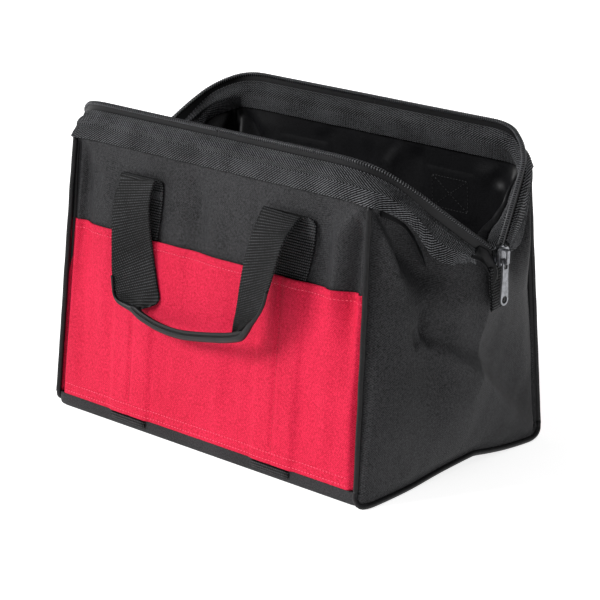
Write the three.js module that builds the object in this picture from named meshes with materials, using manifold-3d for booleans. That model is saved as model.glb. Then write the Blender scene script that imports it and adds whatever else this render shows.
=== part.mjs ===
import * as THREE from 'three';
import { mergeVertices } from 'three/addons/utils/BufferGeometryUtils.js';
import Module from 'manifold-3d';

const wasm = await Module();
wasm.setup();

// Zippered tool bag, stored with its mouth open and its handles hanging. Millimetres, +Z up, -Y is the front,
// +X the end with the slider. The origin is under the middle of the bag, on the plane it stands on.

// Outer shape
const bagWidth = 330; // over the corner piping at the base
const bagDepth = 217.6; // front face to rear face at the floor
const mouthDepth = 182.2; // front face to rear face at the band's lower edge
const mouthTaper = 17; // the corner piping stands this much closer together at the band's lower edge
const bandLowerZ = 222;
const hingeZ = 11; // where the walls are sewn to the base and lean in from

// Cloth and gaps
const seam = 0.3; // clearance between layers that are sewn together
const wallThick = 2.4;
const trayThick = 2.2;
const boardThick = 3;
const panelThick = 2;
const pipingRadius = 2.3;
const trayCorner = 12;
const trayInset = 3; // inside the width over the corner piping
const boardClear = 1; // round the stiffening board
const hemClear = 0.2; // under a hem that turns with its wall
const hingeDip = 0.8; // the inner edge of a wall dips as it leans in
const baseCordDrop = 1.4; // top of the tray to the cord along its end

// Webbing
const strapWidth = 38;
const strapThick = 1.6;
const strapCentre = 77.5; // middle of each strap from the middle of the bag
const foldLow = 2; // a strap's end below the line that its handle swings about
const patchWidth = 56;
const patchThick = 1;
const patchTopZ = 206;
const patchHeight = 44;

// Pockets
const pocketTopZ = 155.3;
const pocketThick = 1.2;

// Wire mouth frame
const wireRadius = 1.6;
const channelRadius = 2.4;
const wireRise = 16.1; // band's lower edge up to the wire
const armSlope = THREE.MathUtils.degToRad(39.4); // fall of the frame's plane towards the ends
const cornerOut = 5; // where the long side and an arm would meet, out from the corner piping
const armSplay = 35.4; // how far an arm's end stands out past that corner
const zipEndGap = 4.4; // end of each coil to the middle of the bag
const cornerRun = 42; // straight length that the rounded corner takes
const bandDrop = 16; // webbing below the wire
const bandThick = 1.9;
const bandBulge = 4.4; // outside radius of the wire channel
const shoulderDrop = 3.4; // lets an arm's webbing swing past the wall's top corner
const pipingStop = 1.6; // corner piping below that top corner
const wireClear = 1.3; // top edge of the wall's cloth to the wire
const wireStop = 13; // the wire ends this far before the zip
const bandStop = 11; // so does the webbing
// Webbing below the wire at distances along an arm: it tapers at the corner, hangs lowest past halfway
const armDrop = [[0, 16], [8, 10.6], [26, 11.2], [40, 12.3], [56, 21], [76, 18.6], [98, 6]];

// Zip
const tapeThick = 1;
const tapeRise = 6.5;
const tapeStop = 1; // the tape ends this far before the coil
const coilHeight = 3;
const coilThick = 3.2;
const coilPitch = 6;
const coilDip = 0.72;

// Slider, puller and zip ends
const sliderOut = 2.1; // inner face of the slider past the end of the coils
const sliderDrop = 4.8; // middle of the slider below the end of the coils
const sliderHeight = 13;
const sliderWidth = 12;
const sliderFoot = 9.4;
const sliderCut = 1.6; // chamfer on the slider's shoulders
const postHalf = 1.3; // the wedge that parts the two coils
const postLength = 5.5;
const rimHeight = 0.9; // the plates' edges that hold the coils in
const plateThick = 1.3;
const coilSlot = 2.8;
const bridgeRise = 3.2;
const bridgeBar = 1.2;
const bridgeWidth = 3;
const bridgeLength = 11;
const pullLength = 34;
const pullNeck = 6.4;
const pullEnd = 8.8;
const pullThick = 1.4;
const pullHole = 2.9; // radius
const pullSeat = 1.4; // the puller's hinge line above the arch's lower bar
const neckLength = 6;
const eyeLength = 6.4;
const eyeClear = 0.5;
const tabWidth = 14;
const tabLength = 34;
const tabThick = 1.8;
const tabSkew = 4.5; // how far the front edge of the tab hangs below its rear edge
const tabShift = 2;
const loopTabWidth = 18;
const loopTabLength = 36;
const loopTabDepth = 6;
const loopTabRise = 1;
const clipHeight = 5;
const clipThick = 4.4;

// Handles
const pivotV = 188; // height of the webbing fold along the wall
const pivotOut = 6.2; // strap to wall at the fold
const foldRise = 5;
const foldSteps = 8;
const gripRadius = 4.7;
const gripHalf = 60;
const gripSag = 8;
const gripSteps = 10;
const gripEnd = 0.8; // the grip's ends are tucked in to this share of its thickness
const gripDrop = 94; // fold to the ends of the grip
const gripOut = 21.8; // fold to grip, away from the wall
const strapToe = 62; // middle of a strap where it meets the grip
const strapGather = 0.62; // share of its width that a strap keeps where it enters the grip
const strapInGrip = 0.6;
// How a handle strap hangs: fall, distance out and shift inwards, each a share of the whole
const strapHang = [[0.005, 0, 0], [0.156, 0.229, 0.12], [0.378, 0.436, 0.32], [0.667, 0.688, 0.6],
  [0.922, 0.899, 0.84], [1, 1, 1]];

// End panels
const endEdgeIn = 5.3; // an end's edges behind the front and rear faces, at the base
const endEdgeTopIn = 3.5; // and at the top
const endTopDrop = 6.5; // an end's top corners below the band's lower edge
const notchZ = 149;
const notchProud = 25; // an end's outermost point past the corner piping at the base
const edgeInset = 1.4; // an end's edge beside the corner piping
// The lower middle of an end stays put; the gusset round it folds as the walls lean in
const splitZ = 95;
const stiffBaseIn = 1.5; // the stiff part's lower corners in from an end's edges
const stiffTopY = 65;

const mouthWidth = bagWidth - mouthTaper;
const cornerX = mouthWidth / 2 + cornerOut;
const endEdgeY = bagDepth / 2 - endEdgeIn;
const endEdgeTopY = mouthDepth / 2 - endEdgeTopIn;
const endTopZ = bandLowerZ - endTopDrop;
const stiffBaseY = endEdgeY - stiffBaseIn;
const wireZ = bandLowerZ + wireRise;
const lean = Math.atan((bagDepth - mouthDepth) / 2 / bandLowerZ);
const hingeY = bagDepth / 2 - hingeZ * Math.tan(lean);
const pipeOut = 2 * pipingRadius + seam;
const toV = (z) => (z - hingeZ) / Math.cos(lean);
const bandLowerV = toV(bandLowerZ);
const wireV = toV(wireZ);
const coilBase = bandBulge + seam + tapeRise + seam;
const halfWidth = (v) => bagWidth / 2 - pipeOut
  - mouthTaper / 2 * (hingeZ + v * Math.cos(lean)) / bandLowerZ;

const cloth = new THREE.MeshStandardMaterial({ color: '#2a2a2c', roughness: 0.85 });
const red = new THREE.MeshStandardMaterial({ color: '#c8173c', roughness: 0.8 });
const webbing = new THREE.MeshStandardMaterial({ color: '#222224', roughness: 0.8 });
const bandCloth = new THREE.MeshStandardMaterial({ color: '#2e2e30', roughness: 0.8 });
const piping = new THREE.MeshStandardMaterial({ color: '#1e1e20', roughness: 0.7 });
const tapeCloth = new THREE.MeshStandardMaterial({ color: '#333335', roughness: 0.8 });
const coilPlastic = new THREE.MeshStandardMaterial({ color: '#5a5a5c', roughness: 0.45 });
const wireSteel = new THREE.MeshStandardMaterial({ color: '#8c8f92', roughness: 0.35, metalness: 1 });
const gunMetal = new THREE.MeshStandardMaterial({ color: '#77787b', roughness: 0.3, metalness: 1 });
const boardPlastic = new THREE.MeshStandardMaterial({ color: '#3a3a3c', roughness: 0.6 });

const bag = new THREE.Group();
const V = (x, y, z) => new THREE.Vector3(x, y, z);

function volume(geometry) {
  const p = geometry.attributes.position;
  const index = geometry.index;
  const count = index ? index.count : p.count;
  const at = (k) => new THREE.Vector3().fromBufferAttribute(p, index ? index.getX(k) : k);
  let sum = 0;
  for (let k = 0; k < count; k += 3) sum += at(k).dot(at(k + 1).cross(at(k + 2)));
  return sum / 6;
}

function facingOut(geometry) {
  if (volume(geometry) < 0) {
    const a = geometry.index.array;
    for (let k = 0; k < a.length; k += 3) [a[k], a[k + 1]] = [a[k + 1], a[k]];
  }
  return geometry;
}

function indexed(positions, faces) {
  const g = new THREE.BufferGeometry();
  g.setAttribute('position', new THREE.Float32BufferAttribute(positions.flatMap((p) => p.toArray()), 3));
  g.setIndex(faces.flat());
  return facingOut(g);
}

// A closed tube through rings of points; the caps follow the flat outline they are given.
function skin(rings, outline) {
  const n = outline.length;
  const faces = [];
  for (let i = 0; i + 1 < rings.length; i++) {
    for (let j = 0; j < n; j++) {
      const a = i * n + j;
      const b = i * n + (j + 1) % n;
      faces.push([a, b, b + n], [a, b + n, a + n]);
    }
  }
  const last = (rings.length - 1) * n;
  for (const [a, b, c] of THREE.ShapeUtils.triangulateShape(outline, [])) {
    faces.push([c, b, a], [last + a, last + b, last + c]);
  }
  return indexed(rings.flat(), faces);
}

// Sweeps an outline (x away from the bag, y up) along a path. Upright sections keep the outline's y vertical.
function sweep(path, outline, { upright = true, scale = () => 1, away = null, hem = null } = {}) {
  const flat = outline.map(([a, b]) => new THREE.Vector2(a, b));
  if (THREE.ShapeUtils.area(flat) < 0) flat.reverse();
  const middle = flat.reduce((s, p) => s.add(p), new THREE.Vector2()).divideScalar(flat.length);
  const rings = path.map((p, i) => {
    const before = path[Math.max(i - 1, 0)];
    const after = path[Math.min(i + 1, path.length - 1)];
    const t = after.clone().sub(before).normalize();
    const side = away ? away.clone() : V(t.y, -t.x, 0).normalize();
    const up = upright ? V(0, 0, 1) : side.clone().cross(t).normalize();
    const k = scale(i);
    return flat.map((q) => {
      const a = middle.x + (q.x - middle.x) * k;
      const b = hem && q.y <= -bandDrop ? -hem(p) : middle.y + (q.y - middle.y) * k;
      return p.clone().addScaledVector(side, a).addScaledVector(up, b);
    });
  });
  return skin(rings, flat);
}

function rectangle(a0, a1, b0, b1) {
  return [[a0, b0], [a1, b0], [a1, b1], [a0, b1]];
}

function circle(radius, sides) {
  return Array.from({ length: sides }, (_, k) => {
    const t = (k + 0.5) / sides * 2 * Math.PI;
    return [radius * Math.cos(t), radius * Math.sin(t)];
  });
}

function outlineShape(points) {
  return new THREE.Shape(points.map(([x, y]) => new THREE.Vector2(x, y)));
}

// A flat piece of the wall: the shape is drawn in width and height, and lies between two distances outwards.
function slab(points, from, to) {
  const g = new THREE.ExtrudeGeometry(outlineShape(points), { depth: to - from, bevelEnabled: false });
  const m = new THREE.Matrix4().makeBasis(V(1, 0, 0), V(0, 0, 1), V(0, -1, 0));
  m.setPosition(0, -from, 0);
  return g.applyMatrix4(m);
}

// A flat piece drawn in Y and Z, lying between two distances along X.
function plateAcross(points, from, to) {
  const g = new THREE.ExtrudeGeometry(outlineShape(points), { depth: to - from, bevelEnabled: false });
  const m = new THREE.Matrix4().makeBasis(V(0, 1, 0), V(0, 0, 1), V(1, 0, 0));
  m.setPosition(from, 0, 0);
  return g.applyMatrix4(m);
}

function merged(geometry) {
  const g = geometry.clone();
  g.deleteAttribute('normal');
  g.deleteAttribute('uv');
  return mergeVertices(g, 1e-4);
}

function solid(geometry) {
  const g = merged(geometry);
  return new wasm.Manifold(new wasm.Mesh({
    numProp: 3,
    vertProperties: new Float32Array(g.attributes.position.array),
    triVerts: new Uint32Array(g.index.array),
  }));
}

function toGeometry(manifold) {
  const mesh = manifold.getMesh();
  const g = new THREE.BufferGeometry();
  g.setAttribute('position', new THREE.BufferAttribute(new Float32Array(mesh.vertProperties), 3));
  g.setIndex(new THREE.BufferAttribute(new Uint32Array(mesh.triVerts), 1));
  return g;
}

function add(parent, name, geometry, material) {
  const mesh = new THREE.Mesh(geometry, material);
  mesh.name = name;
  parent.add(mesh);
}

// Base

function roundedOutline(halfX, halfY, r, steps = 4) {
  const points = [];
  for (const [sx, sy, start] of [[1, 1, 0], [-1, 1, 90], [-1, -1, 180], [1, -1, 270]]) {
    for (let k = 0; k <= steps; k++) {
      const t = THREE.MathUtils.degToRad(start + 90 * k / steps);
      points.push([sx * (halfX - r) + r * Math.cos(t), sy * (halfY - r) + r * Math.sin(t)]);
    }
  }
  return points;
}

function levelPlate(points, from, to) {
  const g = new THREE.ExtrudeGeometry(outlineShape(points), { depth: to - from, bevelEnabled: false });
  return g.translate(0, 0, from);
}

const trayX = bagWidth / 2 - trayInset;
const trayY = bagDepth / 2 - 0.5;
const trayLow = strapThick + seam;
const trayTop = hingeZ - seam;

function buildBase() {
  const outer = solid(levelPlate(roundedOutline(trayX, trayY, trayCorner), trayLow, trayTop));
  const room = roundedOutline(trayX - trayThick, trayY - trayThick, trayCorner - trayThick);
  const tray = outer.subtract(solid(levelPlate(room, trayLow + trayThick, trayTop + trayThick)));
  add(bag, 'bottom_panel', toGeometry(tray), cloth);

  const inset = trayThick + boardClear;
  const board = roundedOutline(trayX - inset, trayY - inset, trayCorner - inset);
  const boardLow = trayLow + trayThick + seam;
  add(bag, 'base_board', levelPlate(board, boardLow, boardLow + boardThick), boardPlastic);

  const out = trayY + seam + strapThick / 2;
  const low = strapThick / 2;
  const strapTop = trayTop - hemClear;
  const path = [V(0, -out, strapTop), V(0, -out, low), V(0, out, low), V(0, out, strapTop)];
  for (const [name, x] of [['left', -strapCentre], ['right', strapCentre]]) {
    const strap = ribbon(path, strapWidth, strapThick).translate(x, 0, 0);
    add(bag, `${name}_under_strap`, strap, webbing);
  }
  for (const [name, s] of [['left', -1], ['right', 1]]) {
    const x = s * (trayX + pipingRadius + seam);
    const z = trayTop - pipingRadius - baseCordDrop;
    const run = [V(x, -trayY + trayCorner, z), V(x, trayY - trayCorner, z)];
    add(bag, `${name}_base_piping`, sweep(run, circle(pipingRadius, 8)), piping);
  }
}

// A strip whose width runs along X, its middle following a path in the Y-Z plane, with mitred corners.
function ribbon(path, width, thick) {
  const step = (i) => path[i + 1].clone().sub(path[i]).normalize();
  const rings = path.map((p, i) => {
    const before = step(Math.max(i - 1, 0));
    const t = before.clone().add(step(Math.min(i, path.length - 2))).normalize();
    const n = V(0, -t.z, t.y).divideScalar(t.dot(before));
    const w = Array.isArray(width) ? width[i] : width;
    const corner = (a, b) => p.clone().add(V(a * w / 2, 0, 0)).addScaledVector(n, b * thick / 2);
    return [corner(-1, -1), corner(1, -1), corner(1, 1), corner(-1, 1)];
  });
  const square = [[0, 0], [1, 0], [1, 1], [0, 1]].map(([a, b]) => new THREE.Vector2(a, b));
  return skin(rings, square);
}

// End panels, drawn as creased plates over the Y-Z plane

function creasedPlate(points, triangles, thick, s) {
  const n = points.length;
  const outer = points.map(([x, y, z]) => V(s * x, y, z));
  const inner = points.map(([x, y, z]) => V(s * (x - thick), y, z));
  const faces = [];
  for (const [a, b, c] of triangles) faces.push([a, b, c], [n + c, n + b, n + a]);
  for (let k = 0; k < n; k++) {
    const m = (k + 1) % n;
    faces.push([m, k, n + k], [m, n + k, n + m]);
  }
  return indexed([...outer, ...inner], faces);
}

function buildEnds() {
  const x0 = bagWidth / 2 - pipeOut + edgeInset;
  const x1 = mouthWidth / 2 - pipeOut + edgeInset;
  const notchX = bagWidth / 2 + notchProud;
  const z0 = hingeZ + seam;
  const fold = (z) => endEdgeY * (notchZ - z) / (notchZ - z0);
  const middleX = (z) => x0 + (notchX - x0) * (z - z0) / (notchZ - z0);
  // The side planes pass through a base corner, the notch and the top of the corner piping.
  const side = new THREE.Plane().setFromCoplanarPoints(
    V(x0, endEdgeY, z0), V(notchX, 0, notchZ), V(x1, endEdgeTopY, endTopZ));
  const sideX = (y, z) => -(side.constant + side.normal.y * y + side.normal.z * z) / side.normal.x;
  const at = (y, z) => [Math.abs(y) > fold(z) ? sideX(Math.abs(y), z) : middleX(z), y, z];

  const lowZ = splitZ - seam;
  const highZ = splitZ + seam;
  const f = fold(splitZ);
  const base = stiffBaseY - seam;
  const top = stiffTopY - seam;
  const low = [at(-base, z0), at(base, z0), at(top, lowZ), at(f, lowZ), at(-f, lowZ), at(-top, lowZ)];
  const lowFaces = [[0, 1, 3], [0, 3, 4], [1, 2, 3], [0, 4, 5]];
  const b = stiffBaseY + seam;
  const t = stiffTopY + seam;
  const high = [at(-endEdgeY, z0), at(-b, z0), at(-t, highZ), at(-f, highZ), at(f, highZ), at(t, highZ),
    at(b, z0), at(endEdgeY, z0), [x1, endEdgeTopY, endTopZ], [notchX, 0, notchZ], [x1, -endEdgeTopY, endTopZ]];
  const highFaces = [[0, 1, 2], [0, 2, 10], [2, 9, 10], [2, 3, 9], [3, 4, 9], [4, 5, 9], [5, 8, 9], [5, 7, 8],
    [5, 6, 7]];
  for (const [name, s] of [['left', -1], ['right', 1]]) {
    add(bag, `${name}_end_panel`, creasedPlate(low, lowFaces, panelThick, s), cloth);
    add(bag, `${name}_end_gusset`, creasedPlate(high, highFaces, panelThick, s), cloth);
  }
}

// Front and rear: every wall, frame and handle is made once, as the front, and turned half round for the rear

const wallMatrix = new THREE.Matrix4().makeRotationX(-lean).setPosition(0, -hingeY, hingeZ);
const onWall = (x, out, v) => V(x, -out, v).applyMatrix4(wallMatrix);
const wireLine = onWall(0, -wallThick / 2, wireV);
const armLength = (-wireLine.y - zipEndGap) / Math.cos(armSlope); // along the frame's plane
const coilEndZ = wireLine.z - armLength * Math.sin(armSlope) + coilBase + coilHeight / 2;
const sliderBack = cornerX + armSplay + sliderOut;
const sliderZ = coilEndZ - sliderDrop;

function buildWall(side, names, place) {
  const put = (name, geometry, material) =>
    add(place, `${side}_${name}`, geometry.applyMatrix4(wallMatrix), material);
  const low = seam;
  const wallLow = seam + hingeDip;
  const edge = bandLowerV - seam;
  const shoulder = edge - shoulderDrop;
  const top = wireV - wireRadius - wireClear;
  const bandHalf = cornerX - cornerRun - seam;
  const corner = (s, v) => [s * halfWidth(v), v];
  put('panel', slab([
    corner(-1, wallLow), corner(1, wallLow), corner(1, shoulder), [bandHalf, shoulder], [bandHalf, top],
    [-bandHalf, top], [-bandHalf, shoulder], corner(-1, shoulder),
  ], -wallThick, 0), cloth);

  const pocketTop = toV(pocketTopZ);
  const pocketOut = seam + strapThick + seam;
  put('pocket', slab([corner(-1, low), corner(1, low), corner(1, pocketTop), corner(-1, pocketTop)],
    pocketOut, pocketOut + pocketThick), red);

  const strapTop = pivotV - foldLow;
  for (const s of [-1, 1]) {
    const x0 = s * strapCentre - strapWidth / 2;
    const x1 = s * strapCentre + strapWidth / 2;
    put(`${names[s]}_strap`, slab([[x0, low], [x1, low], [x1, strapTop], [x0, strapTop]],
      seam, seam + strapThick), webbing);

    const patchTop = toV(patchTopZ);
    const p0 = s * strapCentre - patchWidth / 2;
    const p1 = s * strapCentre + patchWidth / 2;
    put(`${names[s]}_patch`, slab([[p0, patchTop - patchHeight], [p1, patchTop - patchHeight],
      [p1, patchTop], [p0, patchTop]], -wallThick - seam - patchThick, -wallThick - seam), cloth);

    const cord = [low, shoulder - pipingStop]
      .map((v) => V(s * (halfWidth(v) + seam + pipingRadius), wallThick / 2, v));
    const away = V(s, 0, 0);
    put(`${names[s]}_piping`, sweep(cord, circle(pipingRadius, 8), { upright: false, away }), piping);

    const half = pivotOut - seam - strapThick / 2;
    const start = seam + strapThick / 2;
    const arch = Array.from({ length: foldSteps + 1 }, (_, k) => {
      const t = Math.PI * k / foldSteps;
      return V(0, -(start + half * (1 - Math.cos(t)) / 2),
        strapTop + seam + (foldLow - seam) * k / foldSteps + foldRise * Math.sin(t));
    });
    put(`${names[s]}_fold`, ribbon(arch, strapWidth, strapThick).translate(s * strapCentre, 0, 0), webbing);
  }

  const run = [onWall(-bandHalf, -wallThick / 2, wireV), onWall(bandHalf, -wallThick / 2, wireV)];
  const leaning = V(0, -Math.cos(lean), Math.sin(lean));
  add(place, `${side}_band`, sweep(run, bandOutline(), { upright: false, away: leaning }), bandCloth);
}

// Folded webbing over the wire: two leaves joined by a round channel, open below.
function bandOutline() {
  const inner = wallThick / 2 + seam;
  const outer = inner + bandThick;
  const overTop = (r, half, steps) => {
    const dip = Math.acos(Math.min(half / r, 1));
    return Array.from({ length: steps + 1 }, (_, k) => {
      const t = -dip + (Math.PI + 2 * dip) * k / steps;
      return [r * Math.cos(t), r * Math.sin(t)];
    });
  };
  return [[outer, -bandDrop], ...overTop(bandBulge, outer, 9), [-outer, -bandDrop], [-inner, -bandDrop],
    ...overTop(channelRadius, inner, 7).reverse(), [inner, -bandDrop]];
}

// The bow's middle line in plan, from a start on the straight part out to the end of one arm.
function armPlan(startX, along) {
  const dir = new THREE.Vector2(armSplay, armLength).normalize();
  const c = new THREE.Vector2(cornerX, 0);
  const a = new THREE.Vector2(cornerX - cornerRun, 0);
  const b = c.clone().addScaledVector(dir, cornerRun);
  const bend = new THREE.QuadraticBezierCurve(a, c, b).getPoints(7);
  const stops = [0.25, 0.5, 0.75, 1].map((t) => b.y + (along - b.y) * t);
  const straight = stops.map((y) => c.clone().addScaledVector(dir, y / dir.y));
  return [new THREE.Vector2(startX, 0), ...bend.slice(startX < a.x ? 0 : 1), ...straight];
}

function onBow(p) {
  return V(p.x, wireLine.y + p.y * Math.cos(armSlope), wireLine.z - p.y * Math.sin(armSlope));
}

function armHem(p) {
  const along = (p.y - wireLine.y) / Math.cos(armSlope);
  let k = 1;
  while (k < armDrop.length - 1 && armDrop[k][0] < along) k++;
  const [[a0, d0], [a1, d1]] = [armDrop[k - 1], armDrop[k]];
  return d0 + (d1 - d0) * THREE.MathUtils.clamp((along - a0) / (a1 - a0), 0, 1);
}

function wholeBow(along) {
  const right = armPlan(0, along).slice(1).map(onBow);
  return [...right.map((p) => V(-p.x, p.y, p.z)).reverse(), ...right];
}

function evenly(path, step) {
  const points = [path[0].clone()];
  const total = path.slice(1).reduce((s, p, i) => s + p.distanceTo(path[i]), 0);
  const count = Math.round(total / step);
  let i = 0;
  let passed = 0;
  for (let k = 1; k < count; k++) {
    const want = total * k / count;
    while (passed + path[i].distanceTo(path[i + 1]) < want) {
      passed += path[i].distanceTo(path[i + 1]);
      i++;
    }
    points.push(path[i].clone().lerp(path[i + 1], (want - passed) / path[i].distanceTo(path[i + 1])));
  }
  return [...points, path[path.length - 1].clone()];
}

function buildFrame(side, names, place) {
  const put = (name, geometry, material) => add(place, `${side}_${name}`, geometry, material);
  put('wire', sweep(wholeBow(armLength - wireStop), circle(wireRadius, 8), { upright: false }), wireSteel);
  const tapeLow = bandBulge + seam;
  put('zip_tape', sweep(wholeBow(armLength - tapeStop),
    rectangle(-tapeThick / 2, tapeThick / 2, tapeLow, tapeLow + tapeRise)), tapeCloth);
  const ribs = evenly(wholeBow(armLength), coilPitch / 2);
  put('zip_coil', sweep(ribs, rectangle(-coilThick / 2, coilThick / 2, coilBase, coilBase + coilHeight),
    { scale: (i) => (i % 2 ? coilDip : 1) }), coilPlastic);
  const arm = armPlan(cornerX - cornerRun + seam, armLength - bandStop).map(onBow);
  for (const s of [-1, 1]) {
    const path = s > 0 ? arm : arm.map((p) => V(-p.x, p.y, p.z)).reverse();
    put(`${names[s]}_arm_band`, sweep(path, bandOutline(), { hem: armHem }), bandCloth);
  }
}

function buildHandle(side, names, place) {
  const put = (name, geometry, material) => add(place, `${side}_${name}`, geometry, material);
  const pivot = onWall(0, pivotOut, pivotV);
  const ends = gripDrop - gripRadius + strapInGrip;
  for (const s of [-1, 1]) {
    const width = strapHang.map(([, , inward]) => (inward < 1 ? strapWidth : strapWidth * strapGather));
    const path = strapHang.map(([fall, out]) => V(0, -out * gripOut, -fall * ends));
    const strap = ribbon(path, width, strapThick);
    const p = strap.attributes.position;
    for (let k = 0; k < p.count; k++) {
      const inward = strapHang[Math.floor(k / 4)][2];
      p.setX(k, p.getX(k) + s * (strapCentre + (strapToe - strapCentre) * inward));
    }
    put(`${names[s]}_handle_strap`, strap.translate(pivot.x, pivot.y, pivot.z), webbing);
  }
  const grip = [];
  for (let k = 0; k <= gripSteps; k++) {
    const t = 2 * k / gripSteps - 1;
    grip.push(V(t * gripHalf, pivot.y - gripOut, pivot.z - gripDrop - gripSag * (1 - t * t)));
  }
  const thin = (i) => (i === 0 || i === gripSteps ? gripEnd : 1);
  put('handle_grip', sweep(grip, circle(gripRadius, 12), { upright: false, scale: thin }), cloth);
}

// Zip ends

function arcPoints(centreZ, r, steps, from, turn) {
  return Array.from({ length: steps + 1 }, (_, k) => {
    const t = from + turn * k / steps;
    return [r * Math.cos(t), centreZ + r * Math.sin(t)];
  });
}

function buildSlider() {
  const w = sliderWidth / 2;
  const f = sliderFoot / 2;
  const h = sliderHeight / 2;
  const shoulder = h - 2 - sliderCut; // the plates widen from their foot up to here
  const plate = [[-f, -h], [f, -h], [w, shoulder], [w, h - sliderCut], [w - sliderCut, h], [sliderCut - w, h],
    [-w, h - sliderCut], [-w, shoulder]].map(([y, z]) => [y, z + sliderZ]);
  const inner = sliderBack + plateThick;
  const outer = inner + coilSlot;
  const face = outer + plateThick;
  let body = solid(plateAcross(plate, sliderBack, inner)).add(solid(plateAcross(plate, outer, face)));
  const sunk = plateThick / 2;
  const post = [[-postHalf, h - seam], [0, h - postLength], [postHalf, h - seam]]
    .map(([y, z]) => [y, z + sliderZ]);
  body = body.add(solid(plateAcross(post, inner - sunk, outer + sunk)));
  for (const s of [-1, 1]) {
    const rim = [[s * (f - rimHeight), -h], [s * f, -h], [s * f, -1], [s * (f - rimHeight), -1]]
      .map(([y, z]) => [y, z + sliderZ]);
    if (s < 0) rim.reverse();
    body = body.add(solid(plateAcross(rim, inner - sunk, inner + rimHeight)));
    body = body.add(solid(plateAcross(rim, outer - rimHeight, outer + sunk)));
  }
  body = body.add(solid(bridge(face)));
  add(bag, 'slider_body', toGeometry(body), gunMetal);

  const barZ = sliderZ - bridgeLength / 2 + bridgeBar + pullSeat;
  add(bag, 'slider_puller', puller(face + bridgeRise / 2, barZ), gunMetal);

  const top = sliderZ - h - seam;
  const front = -tabWidth / 2 - tabShift;
  const rear = tabWidth / 2 - tabShift;
  const tab = [[front, top - tabSkew], [rear, top], [rear, top - tabLength + 2 * tabSkew],
    [front, top - tabLength]];
  add(bag, 'right_zip_tab', plateAcross(tab, sliderBack, sliderBack + tabThick), webbing);
}

// The arch that the puller hangs from, drawn in X and Z and as wide as bridgeWidth.
function bridge(face) {
  const r = bridgeRise + bridgeBar;
  const half = bridgeLength / 2;
  const root = -plateThick / 3; // sunk into the slider's plate
  const bend = bridgeRise / 4;
  const arch = (rise, z) => [[root, -z], [rise - bend, -z], [rise, bend - z], [rise, z - bend], [rise - bend, z],
    [root, z]];
  const points = [...arch(r, half), ...arch(bridgeRise, half - bridgeBar).reverse()]
    .map(([x, z]) => [x + face, z + sliderZ]);
  return acrossY(points, bridgeWidth);
}

// A piece drawn in X and Z, centred on the plane between front and rear.
function acrossY(points, width) {
  const g = new THREE.ExtrudeGeometry(outlineShape(points), { depth: width, bevelEnabled: false });
  const m = new THREE.Matrix4().makeBasis(V(1, 0, 0), V(0, 0, 1), V(0, -1, 0));
  m.setPosition(0, width / 2, 0);
  return g.applyMatrix4(m);
}

function puller(x, z) {
  const t = pullThick / 2;
  const n = pullNeck / 2;
  const e = pullEnd / 2;
  const centre = -pullLength + e;
  const neckLow = -eyeLength - neckLength;
  const side = [[-n, t], [-n, neckLow], ...arcPoints(centre, e, 14, Math.PI, Math.PI), [n, neckLow], [n, t]];
  const eye = bridgeWidth / 2 + eyeClear;
  let body = solid(plateAcross(side, -t, t));
  const slot = [[-eye, -t], [-eye, -eyeLength], [eye, -eyeLength], [eye, -t]];
  body = body.subtract(solid(plateAcross(slot, -pullThick, pullThick)));
  const hole = arcPoints(centre, pullHole, 16, 0, 2 * Math.PI).slice(0, -1);
  body = body.subtract(solid(plateAcross(hole, -pullThick, pullThick)));
  return toGeometry(body).translate(x, 0, z);
}

// The closed end: a loop of webbing hangs from a metal clip over both coils.
function buildLeftEnd() {
  const top = sliderZ + loopTabRise;
  const low = top - loopTabLength;
  const x0 = -sliderBack;
  const x1 = x0 - loopTabDepth;
  const turn = loopTabDepth / 4;
  const t = tabThick;
  const profile = [[x0, top], [x0, low + turn], [x0 - turn, low], [x1 + turn, low], [x1, low + turn],
    [x1, top], [x1 + t, top], [x1 + t, low + t + turn / 2], [x1 + t + turn / 2, low + t],
    [x0 - t - turn / 2, low + t], [x0 - t, low + t + turn / 2], [x0 - t, top]];
  add(bag, 'left_zip_tab', acrossY(profile, loopTabWidth), webbing);
  const clip = rectangle(-sliderFoot / 2, sliderFoot / 2, top + seam, top + seam + clipHeight);
  add(bag, 'left_zip_stop', plateAcross(clip, x0 - clipThick, x0), gunMetal);
}

function buildSide(side, turn, names) {
  const place = new THREE.Group();
  place.rotation.z = turn;
  bag.add(place);
  buildWall(side, names, place);
  buildFrame(side, names, place);
  buildHandle(side, names, place);
}

buildBase();
buildEnds();
buildSide('front', 0, { [-1]: 'left', 1: 'right' });
buildSide('rear', Math.PI, { [-1]: 'right', 1: 'left' });
buildSlider();
buildLeftEnd();

export default bag;
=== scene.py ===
import math

import bmesh
import bpy
from mathutils import Matrix, Vector, noise


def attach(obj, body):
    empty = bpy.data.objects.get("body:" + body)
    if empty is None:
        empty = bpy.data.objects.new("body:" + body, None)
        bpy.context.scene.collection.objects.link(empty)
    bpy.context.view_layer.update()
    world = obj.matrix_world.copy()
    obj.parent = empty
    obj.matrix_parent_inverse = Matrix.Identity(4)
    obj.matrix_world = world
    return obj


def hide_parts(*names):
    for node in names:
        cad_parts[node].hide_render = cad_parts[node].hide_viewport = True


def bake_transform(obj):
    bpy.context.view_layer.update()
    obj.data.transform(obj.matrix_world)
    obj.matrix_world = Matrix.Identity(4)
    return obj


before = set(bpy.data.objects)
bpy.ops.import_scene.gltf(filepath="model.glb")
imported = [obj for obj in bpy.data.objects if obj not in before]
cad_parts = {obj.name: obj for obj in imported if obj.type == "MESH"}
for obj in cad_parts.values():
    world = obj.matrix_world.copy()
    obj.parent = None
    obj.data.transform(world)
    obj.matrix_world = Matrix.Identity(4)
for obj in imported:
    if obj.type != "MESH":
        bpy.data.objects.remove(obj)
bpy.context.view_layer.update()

# Zippered tool bag. Lengths are in millimetres until a point is put in a mesh. +Z is up and -Y is the front
MM = 0.001
UP = Vector((0, 0, 1))

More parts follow.
